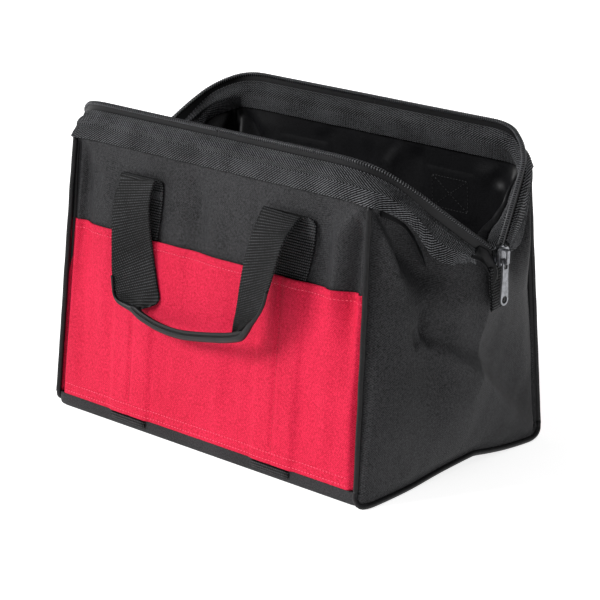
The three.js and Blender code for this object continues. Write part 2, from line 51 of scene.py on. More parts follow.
# The bag's own sizes, as the frame has them
BAG_WIDTH, BAG_DEPTH, MOUTH_DEPTH, MOUTH_TAPER = 330.0, 217.6, 182.2, 17.0
BAND_Z, HINGE_Z, SEAM, WALL = 222.0, 11.0, 0.3, 2.4
PIPING, STRAP_WIDTH, STRAP_THICK, STRAP_X = 2.3, 38.0, 1.6, 77.5
POCKET_Z, PIVOT_V, PIVOT_OUT, FOLD_RISE, FOLD_LOW = 155.3, 188.0, 6.2, 5.8, 2.0
WIRE_Z, ARM_SLOPE, ARM_SPLAY, CORNER_RUN = 238.1, math.radians(39.4), 35.4, 42.0

# How thick each cloth and webbing is drawn. The thin webbing is that of the zip's tape and tabs
WALL_CLOTH, END_CLOTH, POCKET_CLOTH, LINING = 1.4, 1.2, 0.9, 0.6
WEBBING, BASE_WEBBING, THIN_WEBBING = 1.2, 1.4, 0.9
# Cords in the seams, sewn rows of the pocket, and the patches behind the handles
CORD_R, BASE_CORD_R = 2.1, 2.2
HEM_DOWN, LOW_ROWS = 6.4, (9.0, 3.0)
PATCH_WIDTH, PATCH_HEIGHT, PATCH_Z = 56, 44, 206
# The webbing's width from hem to tape, how far before the wire's end it stops, and the zip above it
BAND_WIDTH, BAND_STOP = 26, 17
TAPE_LOW, TAPE_WIDTH = 2.6, 10.4
COIL_PITCH, COIL_DEEP, COIL_HIGH, COIL_UP, COIL_WIRE, COIL_CORE = 2.1, 1.75, 1.3, 13.3, 0.43, 1.15

LEAN = math.atan((BAG_DEPTH - MOUTH_DEPTH) / 2 / BAND_Z)
HINGE_Y = BAG_DEPTH / 2 - HINGE_Z * math.tan(LEAN)
CORNER_X = (BAG_WIDTH - MOUTH_TAPER) / 2 + 5
TURN = {"front": 1.0, "rear": -1.0}
NAMES = {"front": {-1: "left", 1: "right"}, "rear": {-1: "right", 1: "left"}}

# How far the webbing hangs below the wire, by the distance along an arm
ARM_DROP = [(0, 14.5), (8, 13.5), (26, 12.5), (34, 15.5), (42, 20.0), (52, 24.5), (62, 24), (70, 20.5),
            (80, 13.5), (89, 7), (98, 6)]
# By the distance along an arm: how many degrees the mouth's edge turns about the wire, webbing in and zip out, and
# how far the inner webbing spreads into the bag. 1 is for the front's right arm and the rear's left one
ARM_LEAN = {1: [(0, 0), (10, -10), (30, 2), (55, 17), (80, 14), (105, 4)],
            -1: [(0, 0), (10, -10), (40, -4), (105, 0)]}
ARM_SPREAD = {1: [(12, 0), (60, 4), (96, 0)],
              -1: [(12, 0), (34, 9), (62, 17), (82, 14), (100, 5)]}

# Folds of a wall's cloth: places across and up it, then widths and heights from the first place to the last
WALL_FOLDS = [
    ([(-145, 224), (-142, 190), (-142, 150), (-144, 112), (-146, 60)], (6, 8, 11), (-3, -6.5, -5, -2.5, 0)),
    ([(150, 216), (144, 195), (142.6, 160), (144, 120), (151, 70)], (4.5, 7, 8), (-4, -9.5, -9.5, -5, 0)),
    ([(146, 222), (128, 196), (126.5, 160), (124, 110)], (5, 8), (1, 4.0, 4.0, 0)),
    ([(-128, 196), (-130, 180)], (6, 7), (-3.0, -1.6)),
    ([(-122, 214), (-112, 205)], (5, 7), (-1.6, -1.0)),
    ([(-30, 222), (-15, 199), (-14, 170), (-17, 140)], (4, 9), (0, -2.6, -2.2, 0)),
    ([(-44, 214), (-36, 180)], (9, 12), (2.2, 0)),
    ([(44, 224), (57, 208), (52, 180)], (5, 8), (0.8, 2.6, 0)),
    ([(98, 216), (112, 180), (116, 150)], (5, 9), (0, -2.2, 0)),
    ([(10, 200), (20, 120)], (18, 26), (1.5, 0.5)),
]

# Folds of an end's cloth: places along the end, front first, and up it
END_FOLDS = [
    ([(-89, 220), (-84, 196), (-77, 170), (-73, 145), (-71, 100)], (3, 6, 9, 13), (0.5, 7, 6.5, 3, 0)),
    ([(-82, 214), (-72, 200), (-62, 184), (-48, 168)], (4, 9, 13, 13), (-4, -12, -17, -12)),
    ([(-36, 168), (-28, 148)], (14, 15), (5, 4)),
    ([(-50, 148), (-52.5, 134), (-50, 123), (-41, 110)], (4, 5, 4.5), (-1, -7, -7.5, -2)),
    ([(-61, 127), (-60, 119)], (4, 4), (-3.5, -3)),
    ([(-44, 112), (-12, 91), (25, 63), (63, 35), (92, 14)], (5, 8, 9, 8), (2.5, 4.5, 4.5, 4, 2)),
    ([(-28, 124), (5, 104), (40, 76), (72, 50)], (14, 18, 16), (-2, -6, -6, -3)),
    ([(-78, 70), (-30, 42)], (30, 36), (2, 3)),
    ([(89, 220), (84, 196), (77, 170), (74, 130)], (3, 6, 9), (0.5, 7, 5, 0)),
    ([(80, 211), (70, 196), (58, 178), (45, 160)], (4, 10, 12), (-3, -10, -12, -6)),
]


def ease(t):
    t = min(max(t, 0.0), 1.0)
    return t * t * (3 - 2 * t)


def up_wall(z):
    return (z - HINGE_Z) / math.cos(LEAN)


def half_width(v):
    """Half the width of a wall's cloth at a height along the wall."""
    pipe = 2 * PIPING + SEAM
    return BAG_WIDTH / 2 - pipe - MOUTH_TAPER / 2 * (HINGE_Z + v * math.cos(LEAN)) / BAND_Z


def widened(p):
    """The mouth's left end stands a little wider than the frame has it."""
    return p - Vector((2.2 * ease(-p.x / 150) * ease(p.z / 215), 0, 0))


def on_wall(side, x, out, v):
    """A point by its place on a wall: across, outwards and up the cloth."""
    k = TURN[side]
    y = v * math.sin(LEAN) - out * math.cos(LEAN) - HINGE_Y
    return widened(Vector((k * x, k * y, v * math.cos(LEAN) + out * math.sin(LEAN) + HINGE_Z)))


def wall_out(side):
    return Vector((0, -TURN[side] * math.cos(LEAN), math.sin(LEAN)))


BAND_V, POCKET_V, WIRE_V = up_wall(BAND_Z), up_wall(POCKET_Z), up_wall(WIRE_Z)
WIRE = on_wall("front", 0, -WALL / 2, WIRE_V)
ARM = (-WIRE.y - 4.4) / math.cos(ARM_SLOPE)


# Small shape tools

def hump(t):
    return math.exp(-t * t)


def soft(x, y, z):
    return noise.noise(Vector((x, y, z)))


def table(pairs, t):
    """A smooth value between the pairs of a short list."""
    if t <= pairs[0][0]:
        return pairs[0][1]
    for (a, p), (b, q) in zip(pairs, pairs[1:]):
        if t <= b:
            return p + (q - p) * ease((t - a) / (b - a))
    return pairs[-1][1]


def step_at(items, share):
    """Which two neighbours hold a share of the way through a list, and how far between them it is."""
    far = share * (len(items) - 1)
    k = min(int(far), len(items) - 2)
    return k, far - k


def between(values, share):
    """A value for a share of the way through a few values."""
    k, part = step_at(values, share)
    return values[k] + (values[k + 1] - values[k]) * part


def folded(folds, p, q):
    """How high the folds lift a cloth at a place."""
    total = 0.0
    for places, wide, high in folds:
        far, share = 1e9, 0.0
        for k, ((p0, q0), (p1, q1)) in enumerate(zip(places, places[1:])):
            dp, dq = p1 - p0, q1 - q0
            t = min(max(((p - p0) * dp + (q - q0) * dq) / (dp * dp + dq * dq), 0.0), 1.0)
            gap = math.hypot(p - p0 - dp * t, q - q0 - dq * t)
            if gap < far:
                far, share = gap, (k + t) / (len(places) - 1)
        if far < 60:
            total += between(high, share) * hump(far / between(wide, share))
    return total


class Line:
    """A line through points in mm, read by the distance along it."""

    def __init__(self, points):
        self.points = [Vector(p) for p in points]
        self.at = [0.0]
        for a, b in zip(self.points, self.points[1:]):
            self.at.append(self.at[-1] + (b - a).length)
        self.length = self.at[-1]

    def seek(self, t):
        t = min(max(t, 0.0), self.length)
        low, high = 0, len(self.at) - 1
        while high - low > 1:
            mid = (low + high) // 2
            low, high = (mid, high) if self.at[mid] <= t else (low, mid)
        return low, (t - self.at[low]) / max(self.at[high] - self.at[low], 1e-9)

    def point(self, t):
        k, f = self.seek(t)
        return self.points[k].lerp(self.points[k + 1], f)

    def along(self, t):
        return (self.point(t + 1.5) - self.point(t - 1.5)).normalized()


def rounded(points, steps=8):
    """The points joined by a smooth curve that passes through each of them."""
    p = [Vector(q) for q in points]
    p = [p[0] * 2 - p[1], *p, p[-1] * 2 - p[-2]]
    out = []
    for a, b, c, d in zip(p, p[1:], p[2:], p[3:]):
        for k in range(steps):
            t = k / steps
            out.append(0.5 * (2 * b + (c - a) * t + (2 * a - 5 * b + 4 * c - d) * t * t
                              + (3 * b - a - 3 * c + d) * t ** 3))
    return out + [p[-2]]


def add_cloth(bm, columns, rows, place, size):
    """Adds a flat grid whose vertices go where place(u, v) says; its UV map is in metres of cloth."""
    layer = bm.loops.layers.uv.verify()
    made = bmesh.ops.create_grid(bm, x_segments=columns, y_segments=rows, size=0.5)["verts"]
    for f in {f for v in made for f in v.link_faces}:
        for loop in f.loops:
            loop[layer].uv = ((loop.vert.co.x + 0.5) * size[0] * MM, (loop.vert.co.y + 0.5) * size[1] * MM)
    for v in made:
        v.co = place(v.co.x + 0.5, v.co.y + 0.5) * MM
    return made


def add_tube(bm, line, radius, sides, rows, up=UP):
    """Adds a round piece along a line: radius(t, turn) in mm at a distance and an angle."""

    def place(u, v):
        t = line.length * v
        along = line.along(t)
        side = along.cross(up).normalized()
        top = side.cross(along)
        turn = -2 * math.pi * u
        return line.point(t) + (side * math.cos(turn) + top * math.sin(turn)) * radius(t, turn)

    made = add_cloth(bm, sides, rows, place, (2 * math.pi * radius(line.length / 2, 0), line.length))
    bmesh.ops.remove_doubles(bm, verts=made, dist=1e-6)
    edges = {e for v in made if v.is_valid for e in v.link_edges if e.is_boundary}
    bmesh.ops.holes_fill(bm, edges=list(edges), sides=0)


def add_stitches(bm, points, outwards, pitch=3.0, gap=0.9, thread=0.32, lift=0.1):
    """Adds a row of lockstitches: each is a small bead laid along the line."""
    line = Line(points)
    count = max(int(line.length / pitch), 1)
    for k in range(count):
        t = (k + 0.5) * line.length / count
        along = line.along(t)
        side = along.cross(outwards).normalized()
        top = side.cross(along)
        spin = Matrix((along, side, top)).transposed().to_4x4()
        where = Matrix.Translation((line.point(t) + top * lift) * MM)
        size = Matrix.Diagonal(((pitch - gap) / 2 * MM, thread * MM, thread * 0.8 * MM, 1))
        bmesh.ops.create_icosphere(bm, subdivisions=1, radius=1.0, matrix=where @ spin @ size)


def piece(name, bm, slot, *finishes, thick=0.0, offset=-1.0, smooth=True):
    """Makes an object at the origin from a bmesh, with its finishes and, for cloth, a thickness."""
    mesh = bpy.data.meshes.new(name)
    bm.to_mesh(mesh)
    bm.free()
    for finish in finishes:
        mesh.materials.append(finish)
    if smooth:
        mesh.shade_smooth()
    obj = bpy.data.objects.new(name, mesh)
    bpy.context.scene.collection.objects.link(obj)
    if thick:
        wall = obj.modifiers.new("thickness", "SOLIDIFY")
        wall.thickness = thick * MM
        wall.offset = offset
        wall.use_even_offset = False
        if len(finishes) > 1:
            wall.material_offset = 1
            wall.material_offset_rim = 0
    return obj


# Finishes

# Patterns to a metre: clouds of tone, thick places in the yarn, the webbing's fluff, and its worn places
CLOUD, SLUB, FLUFF, STRAP_WEAR, BAND_WEAR = 16.0, 850.0, 750.0, 45.0, 40.0
# Webbing, in mm: the herringbone's strokes with their slant, the ticks across them, and the straps' ribs
STROKE, STROKE_SLANT, TICK, RIB = 2.7, 1.35, 1.7, 2.1


def linear(code):
    """An sRGB hex colour as the linear one that a shader takes."""
    parts = [int(code[k:k + 2], 16) / 255 for k in (1, 3, 5)]
    return tuple(c / 12.92 if c <= 0.04045 else ((c + 0.055) / 1.055) ** 2.4 for c in parts) + (1.0,)


def add_node(tree, kind, inputs=None, stops=(), **settings):
    """Adds one node: its settings, its colour stops, and for each input a value or what feeds it."""
    made = tree.nodes.new(kind)
    for key, value in settings.items():
        setattr(made, key, value)
    for key, value in (inputs or {}).items():
        if isinstance(value, bpy.types.Node):
            value = value.outputs[0]
        if isinstance(value, bpy.types.NodeSocket):
            tree.links.new(value, made.inputs[key])
        else:
            made.inputs[key].default_value = value
    if stops:
        band = made.color_ramp
        while len(band.elements) < len(stops):
            band.elements.new(0.5)
        for element, (place, code) in zip(band.elements, stops):
            element.position = place
            element.color = linear(code)
    return made


def start_finish(name, **values):
    """A new material: its node tree, its shader with the plain values set, and the cloth's map and its place."""
    made = bpy.data.materials.new(name)
    made.use_nodes = True
    tree = made.node_tree
    shader = tree.nodes["Principled BSDF"]
    for key, value in values.items():
        shader.inputs[key.replace("_", " ")].default_value = value
    place = add_node(tree, "ShaderNodeTexCoord")
    return made, tree, shader, place.outputs["UV"], place.outputs["Object"]


def join_finish(tree, shader, colour, height, strength, relief):
    """Gives a shader its colour and its relief, which is in mm."""
    bump = add_node(tree, "ShaderNodeBump", {"Height": height, "Strength": strength, "Distance": relief * MM})
    tree.links.new(colour.outputs[0], shader.inputs["Base Color"])
    tree.links.new(bump.outputs[0], shader.inputs["Normal"])


def woven(name, shade, pale, yarn, relief, blotch, **values):
    """Plain weave: a checker of uneven yarns, so many mm apart, under a slow change of tone."""
    made, tree, shader, cloth, solid = start_finish(name, **values)
    turn = math.pi / (yarn * MM)
    turned = add_node(tree, "ShaderNodeVectorMath", {0: cloth, 1: (turn, turn, 0)}, operation="MULTIPLY")
    split = add_node(tree, "ShaderNodeSeparateXYZ", {0: turned})
    weft = add_node(tree, "ShaderNodeMath", {0: split.outputs["X"]}, operation="SINE")
    warp = add_node(tree, "ShaderNodeMath", {0: split.outputs["Y"]}, operation="SINE")
    checks = add_node(tree, "ShaderNodeMath", {0: weft, 1: warp}, operation="MULTIPLY")
    cloud = add_node(tree, "ShaderNodeTexNoise", {"Vector": solid, "Scale": CLOUD, "Detail": 4.0})
    slub = add_node(tree, "ShaderNodeTexNoise", {"Vector": solid, "Scale": SLUB, "Detail": 2.0})
    tone = -blotch / 2
    for part, weight in ((checks, 0.16), (slub, 1.0), (cloud, blotch)):
        tone = add_node(tree, "ShaderNodeMath", {0: part, 1: weight, 2: tone}, operation="MULTIPLY_ADD")
    colour = add_node(tree, "ShaderNodeValToRGB", {0: tone}, stops=((0.25, shade), (0.75, pale)))
    height = add_node(tree, "ShaderNodeMath", {0: slub, 1: 0.6, 2: checks}, operation="MULTIPLY_ADD")
    join_finish(tree, shader, colour, height, 0.6, relief)
    return made


def ribbed(name, stops, rib, bead, relief, **values):
    """Webbing with ribs across it: each is a row of beads, half a bead off from the next.
    The tone follows the height: painted highlight on the rib tops and painted shade in the grooves. Sizes are in mm."""
    made, tree, shader, cloth, solid = start_finish(name, **values)
    turns = (math.pi / (bead * MM), math.pi / (rib * MM), 0)
    turned = add_node(tree, "ShaderNodeVectorMath", {0: cloth, 1: turns}, operation="MULTIPLY")
    split = add_node(tree, "ShaderNodeSeparateXYZ", {0: turned})
    weft = add_node(tree, "ShaderNodeMath", {0: split.outputs["Y"]}, operation="SINE")
    warp = add_node(tree, "ShaderNodeMath", {0: split.outputs["X"]}, operation="SINE")
    beads = add_node(tree, "ShaderNodeMath", {0: weft, 1: warp}, operation="MULTIPLY")
    row = add_node(tree, "ShaderNodeMath", {0: weft}, operation="ABSOLUTE")
    fluff = add_node(tree, "ShaderNodeTexNoise", {"Vector": solid, "Scale": FLUFF, "Detail": 2.0})
    worn = add_node(tree, "ShaderNodeTexNoise", {"Vector": solid, "Scale": STRAP_WEAR, "Detail": 3.0})
    height = add_node(tree, "ShaderNodeMath", {0: beads, 1: 0.22, 2: row}, operation="MULTIPLY_ADD")
    # The height tints the tone: painted highlight on the rib tops, painted shade in the grooves
    tone = -0.42
    for part, weight in ((fluff, 0.5), (worn, 0.35), (height, 0.75)):
        tone = add_node(tree, "ShaderNodeMath", {0: part, 1: weight, 2: tone}, operation="MULTIPLY_ADD")
    colour = add_node(tree, "ShaderNodeValToRGB", {0: tone}, stops=stops)
    join_finish(tree, shader, colour, height, 0.9, relief)
    return made


def herringbone(name, stops, stroke, apex, relief, **values):
    """Webbing in a herringbone: its strokes lean one way up to the apex and the other way above it. Sizes in mm."""
    made, tree, shader, cloth, solid = start_finish(name, **values)
    split = add_node(tree, "ShaderNodeSeparateXYZ", {0: cloth})
    across, along = split.outputs["X"], split.outputs["Y"]
    stroke_turn, tick_turn = 2 * math.pi / (stroke * MM), 2 * math.pi / (TICK * MM)
    rise = add_node(tree, "ShaderNodeMath", {0: across, 1: apex * MM}, operation="PINGPONG")
    slant = add_node(tree, "ShaderNodeMath", {0: rise, 1: -STROKE_SLANT, 2: along}, operation="MULTIPLY_ADD")
    turned = add_node(tree, "ShaderNodeMath", {0: slant, 1: stroke_turn}, operation="MULTIPLY")
    strokes = add_node(tree, "ShaderNodeMath", {0: turned}, operation="SINE")
    crossed = add_node(tree, "ShaderNodeMath", {0: across, 1: tick_turn}, operation="MULTIPLY")
    ticks = add_node(tree, "ShaderNodeMath", {0: crossed}, operation="SINE")
    fluff = add_node(tree, "ShaderNodeTexNoise", {"Vector": solid, "Scale": FLUFF, "Detail": 2.0})
    worn = add_node(tree, "ShaderNodeTexNoise", {"Vector": solid, "Scale": BAND_WEAR, "Detail": 3.0})
    height = add_node(tree, "ShaderNodeMath", {0: ticks, 1: 0.25, 2: strokes}, operation="MULTIPLY_ADD")
    tone = 0.08
    for part, weight in ((fluff, 0.5), (worn, 0.35), (height, 0.3)):
        tone = add_node(tree, "ShaderNodeMath", {0: part, 1: weight, 2: tone}, operation="MULTIPLY_ADD")
    colour = add_node(tree, "ShaderNodeValToRGB", {0: tone}, stops=stops)
    join_finish(tree, shader, colour, height, 0.9, relief)
    return made


def grained(name, shade, pale, roughness, grain=300.0, relief=0.02, spread=0.12, **values):
    """A plain surface whose tone and roughness wander a little, with a fine grain of so many to a metre."""
    made, tree, shader, _, solid = start_finish(name, **values)
    low, high = roughness - spread / 2, roughness + spread / 2
    fine = add_node(tree, "ShaderNodeTexNoise", {"Vector": solid, "Scale": grain, "Detail": 3.0})
    colour = add_node(tree, "ShaderNodeValToRGB", {0: fine}, stops=((0.3, shade), (0.7, pale)))
    rough = add_node(tree, "ShaderNodeMapRange", {0: fine, 3: low, 4: high})
    tree.links.new(rough.outputs[0], shader.inputs["Roughness"])
    join_finish(tree, shader, colour, fine, 0.3, relief)
    return made


# Polyester oxford, 600 denier, dyed black: dark grey checks under a dull sheen. Its yarns lie 0.5 mm apart, too fine
# to show, so they are drawn 0.85 mm apart
YARN = 0.85
BLACK = woven("black polyester oxford", "#0f0f10", "#3b3b3d", YARN, 0.15, 0.4, Roughness=0.6,
              Specular_IOR_Level=0.13)
# The same cloth dyed crimson: even and dull, with the checks just showing
RED = woven("crimson polyester oxford", "#a50a26", "#da274b", YARN, 0.15, 0.25, Roughness=0.65,
            Specular_IOR_Level=0.12)
# The oxford's inner face, coated with polyurethane: smoother than the outside, with soft blurred highlights
COATING = woven("polyurethane coated oxford", "#070708", "#19191b", YARN, 0.03, 0.4, Roughness=0.42,
                Specular_IOR_Level=0.16)
# Oxford drawn tight round a cord: flatter and shinier than where it hangs free
CORD = grained("black oxford over cord", "#0b0b0c", "#1c1c1e", 0.42, grain=600.0, relief=0.1,
               Specular_IOR_Level=0.2)
# Oxford rolled round the straps for the grip, drawn darker than the walls
GRIP_CLOTH = grained("black oxford rolled round the grip", "#070708", "#161618", 0.48, grain=700.0, relief=0.12,
                     Specular_IOR_Level=0.25)
# Herringbone webbing over the mouth's wire: pale slanting strokes with near-black between them, 2.7 mm apart
BAND = herringbone("herringbone polyester webbing", ((0.28, "#010102"), (0.54, "#0d0d0e"), (0.82, "#67686b")),
                   STROKE, BAND_WIDTH / 2, 0.5, Roughness=0.6, Specular_IOR_Level=0.15)
# Ribbed polyester webbing of the handles: dull ribs, 2.1 mm apart, with a painted highlight on their tops and painted
# shade in the grooves
STRAP = ribbed("ribbed polyester webbing", ((0.34, "#010101"), (0.58, "#070708"), (0.8, "#3e3f41")),
               RIB, 0.9, 0.4, Roughness=0.6, Specular_IOR_Level=0.15)
# Zip tape, knitted polyester: nearly smooth and very dark, with the same faint painted shade in its grooves
TAPE = ribbed("knitted zip tape", ((0.0, "#060607"), (0.9, "#151517")), 0.9, 0.9, 0.06, Roughness=0.5,
              Specular_IOR_Level=0.2)
# Nylon coil of the zip, moulded wire: its black drawn in mid greys as a painted highlight so that each turn shows,
# with a small glint from its gloss
COIL = grained("black nylon coil", "#3e3f42", "#56575a", 0.3, relief=0.01, Specular_IOR_Level=0.5)
# Sewing thread, polyester: small dull beads, in black, in crimson, and in crimson darkened as painted shade for the
# divider rows that sink into the pocket cloth
THREAD = grained("black polyester thread", "#1a1a1c", "#2d2e30", 0.55)
RED_THREAD = grained("crimson polyester thread", "#e03a58", "#f2607c", 0.6)
SHADED_RED_THREAD = grained("crimson polyester thread with painted shade", "#b0102f", "#c2183a", 0.6)
# Die-cast zinc with a gunmetal plating, tumbled smooth: soft grey reflections
GUNMETAL = grained("gunmetal plated zinc", "#6d6e71", "#8d8e92", 0.3, grain=500.0, Metallic=1.0)
# Spring steel wire, drawn: bright, with blurred reflections
STEEL = grained("drawn steel wire", "#8b8d90", "#a2a4a7", 0.35, grain=400.0, Metallic=1.0)
# Polypropylene board, extruded: dark and slightly waxy
BOARD = grained("polypropylene board", "#151516", "#202021", 0.55, grain=200.0)
# Matt paper that glows a little, so that the floor stays white
FLOOR = grained("white matt paper", "#f0f0f0", "#f4f4f4", 0.9, grain=30.0, Specular_IOR_Level=0.0,
                Emission_Color=(1, 1, 1, 1), Emission_Strength=0.8)


# Walls and pockets

def drape(side, x, v):
    """How far a wall's layers stand out from their plane: in folds and long ripples, less where a strap is sewn."""
    edge = half_width(v) - abs(x)
    seed = 3.1 if side == "front" else 17.7
    pinned = ease(edge / 9) * ease((BAND_V - 1 - v) / 14) * ease(v / 40)
    strap = ease((STRAP_WIDTH / 2 + 14 - abs(abs(x) - STRAP_X)) / 12)
    ripple = 2.2 * soft(x / 34, v / 190, seed) + 1.0 * soft(x / 13, v / 75, seed + 9)
    fold = folded(WALL_FOLDS, x, HINGE_Z + v * math.cos(LEAN))
    groove = -3.2 * hump((edge - 1.0) / 2.6) * ease((BAND_V - v) / 6)
    return (ripple * (1 - 0.9 * strap) + fold * (1 - 0.55 * strap)) * pinned + groove


def pocket_relief(side, x, v):
    """The pocket layer: it lies over the sewn straps and dips where it is stitched through them."""
    edge = half_width(v) - abs(x)
    seed = 41.3 if side == "front" else 58.9
    sewn = ease(edge / 7)
    strap = ease((STRAP_WIDTH / 2 + 5 - abs(abs(x) - STRAP_X)) / 6)
    stitched = hump((abs(x) - STRAP_X) / 2.0)
    ripple = 0.5 + 0.9 * soft(x / 26, v / 90, seed) + 0.4 * soft(x / 9, v / 40, seed + 4)
    hem = 0.4 * ease((v - POCKET_V + HEM_DOWN + 1) / 1.2) - 0.3 * hump((v - POCKET_V + HEM_DOWN) / 0.8)
    low = sum(-0.35 * hump((v - row) / 1.2) for row in reversed(LOW_ROWS))
    over = 1.3 + 1.7 * strap - 0.5 * stitched + hem + max(ripple, 0) * ease(v / 24) * (1 - stitched)
    return drape(side, x, v) + sewn * (over + low) + 0.2 * (1 - sewn)


def make_wall(side):
    bm = bmesh.new()

    def place(u, v):
        # The cloth runs up to the wire, and near the corners, where the wire leaves it, it ends in the band
        flank = ease((abs(2 * u - 1) * half_width(BAND_V) - 100) / 16)
        top = WIRE_V - 3 + (BAND_V + 1.5 - WIRE_V + 3) * flank
        up = 0.4 + (top - 0.4) * v
        x = (2 * u - 1) * (half_width(min(up, BAND_V)) + 2.2)
        return on_wall(side, x, drape(side, x, up), up)

    add_cloth(bm, 160, 120, place, (BAG_WIDTH, WIRE_V))
    wall = piece(f"{side}_wall_cloth", bm, "body_cloth", BLACK, COATING, thick=WALL_CLOTH)
    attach(wall, f"{side}_wall")
    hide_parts(f"{side}_panel")


def make_pocket(side):
    bm = bmesh.new()

    def place(u, v):
        up = 0.3 + (POCKET_V - 0.3) * v
        x = (2 * u - 1) * (half_width(up) + 1.4)
        return on_wall(side, x, pocket_relief(side, x, up), up)

    add_cloth(bm, 170, 90, place, (BAG_WIDTH, POCKET_V))
    pocket = piece(f"{side}_pocket_cloth", bm, "pocket_cloth", RED, thick=POCKET_CLOTH)
    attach(pocket, f"{side}_wall")
    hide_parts(f"{side}_pocket")

    reach = int(half_width(80)) - 3
    across, high = range(-reach, reach + 1, 3), range(10, int(POCKET_V) - 2, 3)
    level = [[(x, v) for x in across] for v in (POCKET_V - HEM_DOWN, *LOW_ROWS)]
    upright = [[(x, v) for v in high] for x in (-STRAP_X, STRAP_X)]
    # The divider rows take the crimson thread darkened as painted shade
    for word, thread, rows in (("pocket", RED_THREAD, level), ("divider", SHADED_RED_THREAD, upright)):
        bm = bmesh.new()
        for row in rows:
            row = [on_wall(side, x, pocket_relief(side, x, v) + 0.1, v) for x, v in row]
            add_stitches(bm, row, wall_out(side))
        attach(piece(f"{side}_{word}_stitches", bm, "pocket_cloth", thread), f"{side}_wall")


def make_corner_cord(side, s):
    bm = bmesh.new()
    spots = []
    for v in range(0, int(BAND_V) + 1, 3):
        x = s * (half_width(v) + SEAM + PIPING - 0.2)
        spots.append(on_wall(side, x, 0.4 * soft(v / 18, s, 2.2) + 0.5, v))
    add_tube(bm, Line(spots), lambda t, turn: CORD_R, 14, 90, up=wall_out(side))
    cord = piece(f"{side}_{NAMES[side][s]}_corner_cord", bm, "piping", CORD)
    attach(cord, f"{side}_wall")
    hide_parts(f"{side}_{NAMES[side][s]}_piping")


def make_patch(side, s):
    """The patch inside a wall, behind the top of a strap, sewn through in a box with a cross."""
    word, top, middle = NAMES[side][s], up_wall(PATCH_Z), s * STRAP_X
    bm = bmesh.new()

    def place(u, v):
        x, up = middle - PATCH_WIDTH / 2 + PATCH_WIDTH * u, top - PATCH_HEIGHT + PATCH_HEIGHT * v
        rim = min(u, 1 - u, v, 1 - v) * PATCH_HEIGHT
        return on_wall(side, x, drape(side, x, up) - 1.3 - 0.5 * ease(rim / 4), up)

    add_cloth(bm, 28, 22, place, (PATCH_WIDTH, PATCH_HEIGHT))
    patch = piece(f"{side}_{word}_patch_cloth", bm, "body_cloth", COATING)
    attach(patch, f"{side}_wall")
    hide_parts(f"{side}_{word}_patch")

    bm = bmesh.new()
    half, low, high = 18.0, top - 34, top - 8
    box = [(-half, high), (half, high), (half, low), (-half, low), (-half, high)]
    cross = [((-half, high), (half, low)), ((half, high), (-half, low))]
    for (x0, v0), (x1, v1) in [*zip(box, box[1:]), *cross]:
        row = [(middle + x0 + (x1 - x0) * k / 12, v0 + (v1 - v0) * k / 12) for k in range(13)]
        row = [on_wall(side, x, drape(side, x, v) - 1.9, v) for x, v in row]
        add_stitches(bm, row, -wall_out(side), thread=0.25)
    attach(piece(f"{side}_{word}_patch_stitches", bm, "body_cloth", THREAD), f"{side}_wall")


# Mouth: webbing over the wire, zip tape and coil

def bow_plan(stop=ARM):
    """The wire's line from the middle of its long side out to the end of one arm, in plan."""
    away = Vector((ARM_SPLAY, ARM)).normalized()
    corner, near = Vector((CORNER_X, 0)), Vector((CORNER_X - CORNER_RUN, 0))
    far = corner + away * CORNER_RUN
    plan = [Vector((x, 0)) for x in (0, near.x * 0.35, near.x * 0.7)]
    for k in range(25):
        t = k / 24
        plan.append(near * (1 - t) ** 2 + corner * 2 * t * (1 - t) + far * t * t)
    for k in range(1, 17):
        plan.append(corner + away * ((far.y + (stop - far.y) * k / 16) / away.y))
    return plan


def on_bow(side, s, p):
    k = TURN[side]
    far = 1 - ease((p.y - 20) / 40)
    at = Vector((k * s * p.x, k * (WIRE.y + p.y * math.cos(ARM_SLOPE)), WIRE.z - p.y * math.sin(ARM_SLOPE)))
    return at.lerp(widened(at), far)


def bow_line(side, s, stop=ARM):
    return Line([on_bow(side, s, p) for p in bow_plan(stop)])


def outward(line, t):
    """The level direction that faces out of the bag beside a line."""
    along = line.along(t)
    flat = Vector((along.y, -along.x, 0)).normalized()
    return flat if flat.dot(line.point(t)) > 0 else -flat


def arm_kind(side, p):
    """1 on the front's right arm and the rear's left one, and -1 on the other two."""
    return 1 if TURN[side] * p.x > 0 else -1


def mouth_frame(side, line, t):
    """A place along the wire, the mouth's ways out and up there, and how far along the arm it is."""
    p = line.point(t)
    reach = (TURN[side] * p.y - WIRE.y) / math.cos(ARM_SLOPE)
    lean = math.radians(table(ARM_LEAN[arm_kind(side, p)], reach))
    out = outward(line, t)
    return p, out * math.cos(lean) - UP * math.sin(lean), UP * math.cos(lean) + out * math.sin(lean), reach


def band_hem(side, s, line, t, leaf):
    """Where a leaf of the webbing ends: flat on the wall up to the corner cord, and then below the arm."""
    p, out, up, reach = mouth_frame(side, line, t)
    x = min(abs(p.x) + 6.0 * ease(reach / 8), 158.6 if leaf > 0 else 147.0)
    flat = on_wall(side, s * x, 1.3 if leaf > 0 else -2.6, BAND_V - 1.5 * ease(reach / 6))
    hung = p + out * (leaf * 2.7) - up * table(ARM_DROP, reach)
    if leaf < 0:
        spread = table(ARM_SPREAD[arm_kind(side, p)], reach)
        hung += UP * spread * 0.35 - out * spread
    return flat.lerp(hung, ease((reach - 6) / 12))


